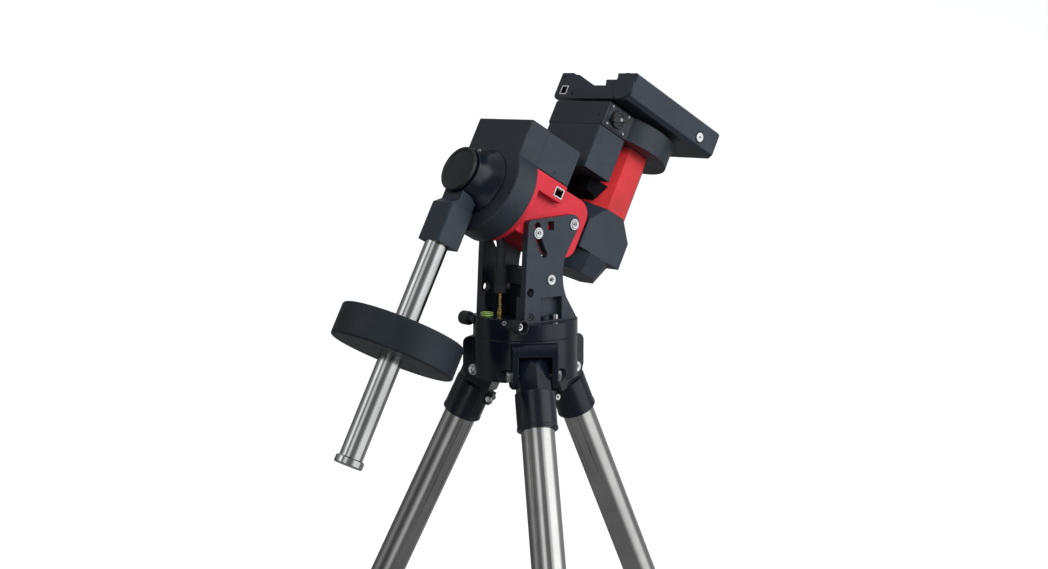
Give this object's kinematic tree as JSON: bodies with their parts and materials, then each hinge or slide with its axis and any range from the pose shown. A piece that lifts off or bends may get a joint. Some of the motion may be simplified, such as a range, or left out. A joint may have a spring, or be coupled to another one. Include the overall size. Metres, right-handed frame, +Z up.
{
  "type": "equatorial mount",
  "caption": "Centre-balanced equatorial telescope mount with dovetail saddle, sliding counterweight and altitude fork on a tripod with telescoping legs.",
  "frame": {"origin": "on the azimuth axis at floor level, under the middle of the tripod hub", "axes": "+Z up along the azimuth axis; -X is north, the raised end of the polar axis; +X is south; +Y completes the right-handed frame"},
  "size_m": [0.643, 0.6422, 0.9561],
  "materials": {
    "black_anodised": "satin",
    "black_painted": "satin",
    "red_anodised": "satin",
    "stainless": "satin",
    "polished_steel": "polished",
    "weight_coating": "satin",
    "brass": "satin",
    "bronze": "satin",
    "rubber": "matte",
    "black_plastic": "matte",
    "motor_steel": "satin",
    "level_vial": "gloss"
  },
  "bodies": {
    "tripod": {"tripod_hub": "black_painted", "mount_bolt": "black_anodised", "leg_pivot_bolts": "polished_steel"},
    "leg_1": {"leg_sleeve_1": "black_painted", "leg_tube_1": "stainless"},
    "leg_1_collar": {"leg_collar_1": "black_plastic"},
    "leg_1_lower": {"leg_inner_tube_1": "stainless", "leg_foot_1": "rubber"},
    "leg_2": {"leg_sleeve_2": "black_painted", "leg_tube_2": "stainless"},
    "leg_2_collar": {"leg_collar_2": "black_plastic"},
    "leg_2_lower": {"leg_inner_tube_2": "stainless", "leg_foot_2": "rubber"},
    "leg_3": {"leg_sleeve_3": "black_painted", "leg_tube_3": "stainless"},
    "leg_3_collar": {"leg_collar_3": "black_plastic"},
    "leg_3_lower": {"leg_inner_tube_3": "stainless", "leg_foot_3": "rubber"},
    "azimuth_turn": {"azimuth_base": "black_anodised", "fork_plate_near": "black_anodised", "fork_plate_far": "black_anodised", "fork_cross_bar": "black_anodised", "fork_screws": "polished_steel", "bubble_level": "level_vial", "altitude_screw": "brass"},
    "azimuth_push": {"azimuth_screws": "polished_steel"},
    "azimuth_grips": {"azimuth_knobs": "black_plastic"},
    "jack_rod": {"altitude_plunger": "polished_steel"},
    "jack_knob": {"altitude_knob": "black_plastic"},
    "polar_housing": {"ra_casting": "red_anodised", "altitude_bolts": "polished_steel", "ra_gear_housing": "black_painted", "ra_motor_cover": "black_painted", "ra_port_box": "red_anodised", "ra_bearings": "polished_steel", "ra_motor": "motor_steel"},
    "ra_worm_shaft": {"ra_worm": "stainless"},
    "ra_switch": {"ra_gear_switch": "black_plastic"},
    "polar_axis": {"ra_shaft": "black_anodised", "ra_worm_wheel": "bronze", "ra_nose": "black_anodised", "cw_block": "black_anodised", "cw_shaft": "stainless", "cw_end_stop": "stainless", "dec_knuckle": "black_anodised", "dec_casting": "red_anodised", "dec_gear_housing": "black_painted", "dec_motor_cover": "black_painted", "dec_motor": "motor_steel", "dec_bearings": "polished_steel"},
    "cap": {"polar_cap": "black_plastic"},
    "weight": {"counterweight": "weight_coating"},
    "weight_screw": {"cw_lock_screw": "black_anodised"},
    "dec_worm_shaft": {"dec_worm": "stainless"},
    "dec_switch": {"dec_gear_switch": "black_plastic"},
    "dec_axis": {"dec_shaft": "black_anodised", "dec_worm_wheel": "bronze", "saddle_plate": "black_anodised"},
    "clamp_jaw": {"saddle_jaw": "black_anodised"},
    "clamp_knob": {"saddle_knob": "black_anodised"}
  },
  "joints": [
    {"name": "leg_1_fold", "type": "hinge", "parent": "tripod", "child": "leg_1", "pos_m": [0.0555, 0, 0.5977], "axis": [0, 1, 0], "range_deg": [0, 24]},
    {"name": "leg_1_extend", "type": "slide", "parent": "leg_1", "child": "leg_1_lower", "axis": [0.4352, 0, -0.9003], "range_m": [0, 0.29]},
    {"name": "leg_1_collar_twist", "type": "hinge", "parent": "leg_1", "child": "leg_1_collar", "pos_m": [0.28617, 0, 0.12053], "axis": [-0.4352, 0, 0.9003], "range_deg": [0, 60]},
    {"name": "leg_2_fold", "type": "hinge", "parent": "tripod", "child": "leg_2", "pos_m": [-0.02775, 0.04806, 0.5977], "axis": [-0.866, -0.5, 0], "range_deg": [0, 24]},
    {"name": "leg_2_extend", "type": "slide", "parent": "leg_2", "child": "leg_2_lower", "axis": [-0.2176, 0.3769, -0.9003], "range_m": [0, 0.29]},
    {"name": "leg_2_collar_twist", "type": "hinge", "parent": "leg_2", "child": "leg_2_collar", "pos_m": [-0.14309, 0.24783, 0.12053], "axis": [0.2176, -0.3769, 0.9003], "range_deg": [0, 60]},
    {"name": "leg_3_fold", "type": "hinge", "parent": "tripod", "child": "leg_3", "pos_m": [-0.02775, -0.04806, 0.5977], "axis": [0.866, -0.5, 0], "range_deg": [0, 24]},
    {"name": "leg_3_extend", "type": "slide", "parent": "leg_3", "child": "leg_3_lower", "axis": [-0.2176, -0.3769, -0.9003], "range_m": [0, 0.29]},
    {"name": "leg_3_collar_twist", "type": "hinge", "parent": "leg_3", "child": "leg_3_collar", "pos_m": [-0.14309, -0.24783, 0.12053], "axis": [0.2176, 0.3769, 0.9003], "range_deg": [0, 60]},
    {"name": "azimuth", "type": "hinge", "parent": "tripod", "child": "azimuth_turn", "pos_m": [0, 0, 0.64], "axis": [0, 0, 1], "range_deg": [-5, 5]},
    {"name": "azimuth_screws_push", "type": "slide", "parent": "azimuth_turn", "child": "azimuth_push", "axis": [0, 1, 0], "range_m": [-0.0046, 0.0046]},
    {"name": "azimuth_knobs_turn", "type": "hinge", "parent": "azimuth_push", "child": "azimuth_grips", "pos_m": [-0.051, 0, 0.659], "axis": [0, 1, 0], "range_deg": [-1290, 1290]},
    {"name": "altitude", "type": "hinge", "parent": "azimuth_turn", "child": "polar_housing", "pos_m": [0.038, 0, 0.7746], "axis": [0, 1, 0], "range_deg": [-10, 7]},
    {"name": "jack_lift", "type": "slide", "parent": "azimuth_turn", "child": "jack_rod", "axis": [0, 0, 1], "range_m": [-0.0126, 0.0089]},
    {"name": "jack_knob_turn", "type": "hinge", "parent": "jack_rod", "child": "jack_knob", "pos_m": [-0.039, 0, 0.71], "axis": [0, 0, 1], "range_deg": [-2995, 2100]},
    {"name": "right_ascension", "type": "hinge", "parent": "polar_housing", "child": "polar_axis", "pos_m": [-0.0158, 0, 0.7997], "axis": [-0.8854, 0, 0.4648], "range_deg": [-100, 100]},
    {"name": "declination", "type": "hinge", "parent": "polar_axis", "child": "dec_axis", "pos_m": [0.09355, 0, 0.74229], "axis": [0.4648, 0, 0.8854], "continuous": true},
    {"name": "ra_worm_turn", "type": "hinge", "parent": "polar_housing", "child": "ra_worm_shaft", "pos_m": [-0.0287, 0, 0.87085], "axis": [0, 1, 0], "range_deg": [-14400, 14400]},
    {"name": "dec_worm_turn", "type": "hinge", "parent": "polar_axis", "child": "dec_worm_shaft", "pos_m": [0.10978, 0, 0.89584], "axis": [0, 1, 0], "continuous": true},
    {"name": "ra_gear_switch_turn", "type": "hinge", "parent": "polar_housing", "child": "ra_switch", "pos_m": [-0.02573, 0.0494, 0.87652], "axis": [0, 1, 0], "range_deg": [0, 90]},
    {"name": "dec_gear_switch_turn", "type": "hinge", "parent": "polar_axis", "child": "dec_switch", "pos_m": [0.10412, -0.0494, 0.89882], "axis": [0, -1, 0], "range_deg": [0, 90]},
    {"name": "polar_cap_pull", "type": "slide", "parent": "polar_axis", "child": "cap", "axis": [-0.8854, 0, 0.4648], "range_m": [0, 0.03]},
    {"name": "counterweight_slide", "type": "slide", "parent": "polar_axis", "child": "weight", "axis": [0.4648, 0, 0.8854], "range_m": [-0.12, 0.1]},
    {"name": "counterweight_screw_turn", "type": "hinge", "parent": "weight", "child": "weight_screw", "pos_m": [-0.19035, 0.06, 0.64987], "axis": [0, 1, 0], "range_deg": [0, 720]},
    {"name": "saddle_jaw_open", "type": "slide", "parent": "dec_axis", "child": "clamp_jaw", "axis": [0, -1, 0], "range_m": [0, 0.008]},
    {"name": "saddle_knob_turn", "type": "hinge", "parent": "dec_axis", "child": "clamp_knob", "pos_m": [0.2268, 0.075, 0.87563], "axis": [0, 1, 0], "range_deg": [0, 2306]}
  ],
  "couplings": [
    {"joint": "azimuth_screws_push", "follows": "azimuth", "m_per_rad": 0.051},
    {"joint": "azimuth_knobs_turn", "follows": "azimuth", "ratio": 256.35},
    {"joint": "jack_lift", "follows": "altitude", "m_per_rad": 0.0713},
    {"joint": "jack_knob_turn", "follows": "altitude", "ratio": 298.66},
    {"joint": "ra_worm_turn", "follows": "right_ascension", "ratio": 144},
    {"joint": "dec_worm_turn", "follows": "declination", "ratio": 144},
    {"joint": "saddle_knob_turn", "follows": "saddle_jaw_open", "rad_per_m": 5026.5}
  ]
}
